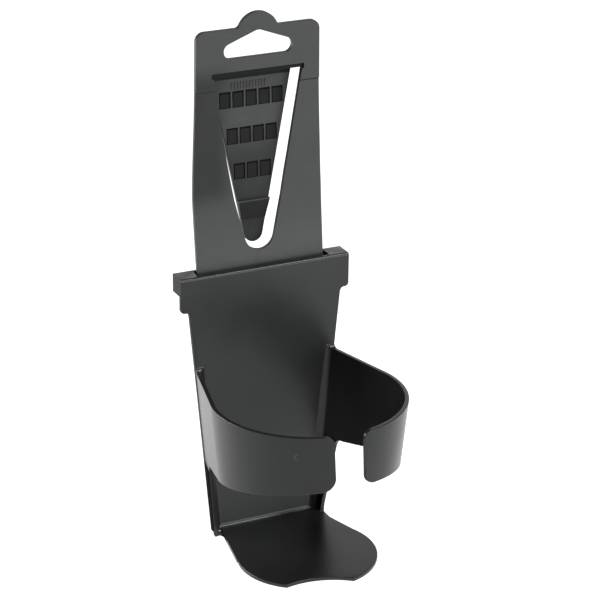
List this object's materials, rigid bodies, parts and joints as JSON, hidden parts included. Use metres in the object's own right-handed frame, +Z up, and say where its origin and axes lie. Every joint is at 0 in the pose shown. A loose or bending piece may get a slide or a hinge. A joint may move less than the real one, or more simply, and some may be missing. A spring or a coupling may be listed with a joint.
{
  "type": "car cup holder",
  "caption": "Cup holder for a car door: a split ring and shelf on a back wall, held by a slotted-in hanger whose sprung tongue clips over the door's edge.",
  "frame": {"origin": "middle of the bounding box's bottom, on the plane of the shelf's underside", "axes": "+Z up, +X to the right as the open front is seen, -Y towards the open front of the ring, +Y towards the car door"},
  "size_m": [0.0849, 0.1039, 0.2346],
  "materials": {
    "cup_plastic": "semi-gloss black moulding",
    "hanger_plastic": "matte dark grey moulding with a fine texture"
  },
  "bodies": {
    "cup_body": {"cup_body": "cup_plastic"},
    "hanger": {"hanger": "hanger_plastic"}
  },
  "joints": [
    {"name": "hanger_slide", "type": "slide", "parent": "cup_body", "child": "hanger", "axis": [0, 0.1132, 0.9936], "range_m": [-0.014, 0]}
  ]
}
